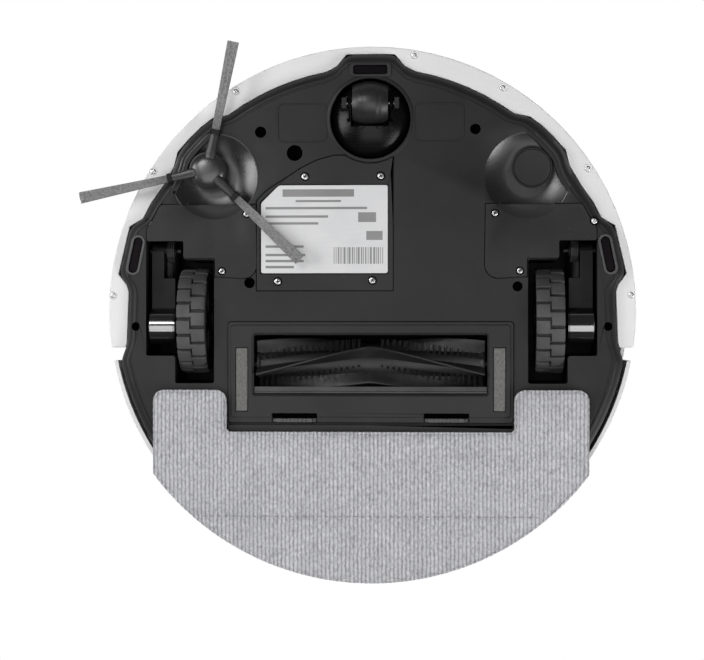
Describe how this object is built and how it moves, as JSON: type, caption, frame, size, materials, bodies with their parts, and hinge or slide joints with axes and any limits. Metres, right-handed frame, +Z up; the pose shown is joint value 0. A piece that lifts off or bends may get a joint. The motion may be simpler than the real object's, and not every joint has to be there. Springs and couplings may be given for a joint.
{
  "type": "robot vacuum",
  "caption": "Round robot vacuum with a sprung bumper, side brush, roller brush, sprung drive wheels, caster, rear dust box and mop plate.",
  "frame": {"origin": "on the body's vertical axis, in the plane of the flat chassis underside", "axes": "front faces -Y, +X is the robot's own left, +Z is up; the floor is 10 mm below the origin"},
  "size_m": [0.3414, 0.3296, 0.0793],
  "materials": {
    "chassis_base": "satin moulded plastic",
    "top_shell": "smooth white plastic",
    "deck_panel": "polished black plastic",
    "bumper_spring_left": "plain steel",
    "bumper_spring_right": "plain steel",
    "bumper_switch_left": "moulded black plastic",
    "bumper_switch_right": "moulded black plastic",
    "battery_cover": "satin moulded plastic",
    "battery_pack": "shrink film over cells",
    "side_brush_motor": "plain steel",
    "suspension_pin_left": "plain steel",
    "suspension_pin_right": "plain steel",
    "suspension_spring_left": "plain steel",
    "suspension_spring_right": "plain steel",
    "wheel_cover_left": "satin moulded plastic",
    "wheel_cover_right": "satin moulded plastic",
    "brush_bearing": "moulded black plastic",
    "brush_motor": "plain steel",
    "brush_gearbox": "moulded black plastic",
    "brush_chamber": "satin moulded plastic",
    "fan_housing": "satin moulded plastic",
    "fan_motor": "plain steel",
    "main_board": "solder-masked board",
    "dc_socket": "moulded black plastic",
    "cliff_lens_front": "polished black plastic",
    "cliff_lens_left": "polished black plastic",
    "cliff_lens_right": "polished black plastic",
    "bumper": "smooth white plastic",
    "ir_window": "polished black plastic",
    "side_brush_hub": "satin moulded plastic",
    "side_brush_tuft_1": "grey nylon bristles",
    "side_brush_tuft_2": "grey nylon bristles",
    "side_brush_tuft_3": "grey nylon bristles",
    "caster_swivel": "polished black plastic",
    "caster_axle": "plain steel",
    "caster_wheel": "smooth dark rubber",
    "main_brush": "rubber blades and bristle rows on a core",
    "brush_cover": "satin moulded plastic",
    "brush_lip": "smooth dark rubber",
    "felt_strip_left": "brushed felt",
    "felt_strip_right": "brushed felt",
    "brush_latch_left": "satin moulded plastic",
    "brush_latch_right": "satin moulded plastic",
    "dust_box": "moulded black plastic",
    "dust_box_lid": "satin moulded plastic",
    "hepa_filter": "pleated paper filter",
    "dust_box_button": "satin moulded plastic",
    "fan_impeller": "off-white nylon",
    "power_button": "metallised plastic",
    "home_button": "metallised plastic",
    "mop_holder": "satin moulded plastic",
    "mop_cloth": "light grey knitted microfibre",
    "wheel_arm_left": "polished black plastic",
    "wheel_motor_left": "plain steel",
    "drive_tyre_left": "dull grey rubber",
    "wheel_hub_left": "satin moulded plastic",
    "wheel_arm_right": "polished black plastic",
    "wheel_motor_right": "plain steel",
    "drive_tyre_right": "dull grey rubber",
    "wheel_hub_right": "satin moulded plastic"
  },
  "bodies": {
    "base": {"chassis_base": "chassis_base", "top_shell": "top_shell", "deck_panel": "deck_panel", "bumper_spring_left": "bumper_spring_left", "bumper_spring_right": "bumper_spring_right", "bumper_switch_left": "bumper_switch_left", "bumper_switch_right": "bumper_switch_right", "battery_cover": "battery_cover", "battery_pack": "battery_pack", "side_brush_motor": "side_brush_motor", "suspension_pin_left": "suspension_pin_left", "suspension_pin_right": "suspension_pin_right", "suspension_spring_left": "suspension_spring_left", "suspension_spring_right": "suspension_spring_right", "wheel_cover_left": "wheel_cover_left", "wheel_cover_right": "wheel_cover_right", "brush_bearing": "brush_bearing", "brush_motor": "brush_motor", "brush_gearbox": "brush_gearbox", "brush_chamber": "brush_chamber", "fan_housing": "fan_housing", "fan_motor": "fan_motor", "main_board": "main_board", "dc_socket": "dc_socket", "cliff_lens_front": "cliff_lens_front", "cliff_lens_left": "cliff_lens_left", "cliff_lens_right": "cliff_lens_right"},
    "bumper_body": {"bumper": "bumper", "ir_window": "ir_window"},
    "side_brush": {"side_brush_hub": "side_brush_hub", "side_brush_tuft_1": "side_brush_tuft_1", "side_brush_tuft_2": "side_brush_tuft_2", "side_brush_tuft_3": "side_brush_tuft_3"},
    "caster_fork": {"caster_swivel": "caster_swivel", "caster_axle": "caster_axle"},
    "caster_roller": {"caster_wheel": "caster_wheel"},
    "roller": {"main_brush": "main_brush"},
    "mouth_frame": {"brush_cover": "brush_cover", "brush_lip": "brush_lip", "felt_strip_left": "felt_strip_left", "felt_strip_right": "felt_strip_right"},
    "latch_left": {"brush_latch_left": "brush_latch_left"},
    "latch_right": {"brush_latch_right": "brush_latch_right"},
    "dust_drawer": {"dust_box": "dust_box", "dust_box_lid": "dust_box_lid", "hepa_filter": "hepa_filter"},
    "drawer_button": {"dust_box_button": "dust_box_button"},
    "impeller": {"fan_impeller": "fan_impeller"},
    "button_power": {"power_button": "power_button"},
    "button_home": {"home_button": "home_button"},
    "mop": {"mop_holder": "mop_holder", "mop_cloth": "mop_cloth"},
    "suspension_left": {"wheel_arm_left": "wheel_arm_left", "wheel_motor_left": "wheel_motor_left"},
    "wheel_left": {"drive_tyre_left": "drive_tyre_left", "wheel_hub_left": "wheel_hub_left"},
    "suspension_right": {"wheel_arm_right": "wheel_arm_right", "wheel_motor_right": "wheel_motor_right"},
    "wheel_right": {"drive_tyre_right": "drive_tyre_right", "wheel_hub_right": "wheel_hub_right"}
  },
  "joints": [
    {"name": "bumper_press", "type": "slide", "parent": "base", "child": "bumper_body", "axis": [0, 1, 0], "range_m": [0, 0.004], "stiffness_N_per_m": 600},
    {"name": "suspension_left", "type": "hinge", "parent": "base", "child": "suspension_left", "pos_m": [0.129, -0.037, 0.016], "axis": [-1, 0, 0], "range_deg": [0, 22], "stiffness_Nm_per_rad": 0.3, "springref_deg": 34.38},
    {"name": "wheel_left_spin", "type": "hinge", "parent": "suspension_left", "child": "wheel_left", "pos_m": [0.11, 0.0065, 0.0225], "axis": [1, 0, 0], "continuous": true},
    {"name": "suspension_right", "type": "hinge", "parent": "base", "child": "suspension_right", "pos_m": [-0.129, -0.037, 0.016], "axis": [-1, 0, 0], "range_deg": [0, 22], "stiffness_Nm_per_rad": 0.3, "springref_deg": 34.38},
    {"name": "wheel_right_spin", "type": "hinge", "parent": "suspension_right", "child": "wheel_right", "pos_m": [-0.11, 0.0065, 0.0225], "axis": [1, 0, 0], "continuous": true},
    {"name": "caster_turn", "type": "hinge", "parent": "base", "child": "caster_fork", "pos_m": [0, -0.1175, 0], "axis": [0, 0, 1], "continuous": true},
    {"name": "caster_roll", "type": "hinge", "parent": "caster_fork", "child": "caster_roller", "pos_m": [0, -0.1273, 0.0035], "axis": [1, 0, 0], "continuous": true},
    {"name": "side_brush_spin", "type": "hinge", "parent": "base", "child": "side_brush", "pos_m": [-0.1, -0.086, 0], "axis": [0, 0, 1], "continuous": true, "deforming": ["side_brush_tuft_1", "side_brush_tuft_2", "side_brush_tuft_3"]},
    {"name": "main_brush_spin", "type": "hinge", "parent": "base", "child": "roller", "pos_m": [0, 0.033, 0.01], "axis": [1, 0, 0], "continuous": true},
    {"name": "brush_frame_open", "type": "hinge", "parent": "base", "child": "mouth_frame", "pos_m": [0, 0.0079, -0.0005], "axis": [-1, 0, 0], "range_deg": [0, 60]},
    {"name": "latch_left_press", "type": "slide", "parent": "mouth_frame", "child": "latch_left", "axis": [0, -1, 0], "range_m": [0, 0.0025], "stiffness_N_per_m": 400},
    {"name": "latch_right_press", "type": "slide", "parent": "mouth_frame", "child": "latch_right", "axis": [0, -1, 0], "range_m": [0, 0.0025], "stiffness_N_per_m": 400},
    {"name": "dust_box_pull", "type": "slide", "parent": "base", "child": "dust_drawer", "axis": [0, 1, 0], "range_m": [0, 0.12]},
    {"name": "dust_box_button_press", "type": "slide", "parent": "dust_drawer", "child": "drawer_button", "axis": [0, -1, 0], "range_m": [0, 0.0014], "stiffness_N_per_m": 500},
    {"name": "fan_spin", "type": "hinge", "parent": "base", "child": "impeller", "pos_m": [-0.089, 0.084, 0.03], "axis": [0, 0, 1], "continuous": true},
    {"name": "power_button_press", "type": "slide", "parent": "base", "child": "button_power", "axis": [0, 0, -1], "range_m": [0, 0.0008], "stiffness_N_per_m": 800},
    {"name": "home_button_press", "type": "slide", "parent": "base", "child": "button_home", "axis": [0, 0, -1], "range_m": [0, 0.0008], "stiffness_N_per_m": 800},
    {"name": "mop_pull", "type": "slide", "parent": "base", "child": "mop", "axis": [0, 1, 0], "range_m": [0, 0.13]}
  ]
}
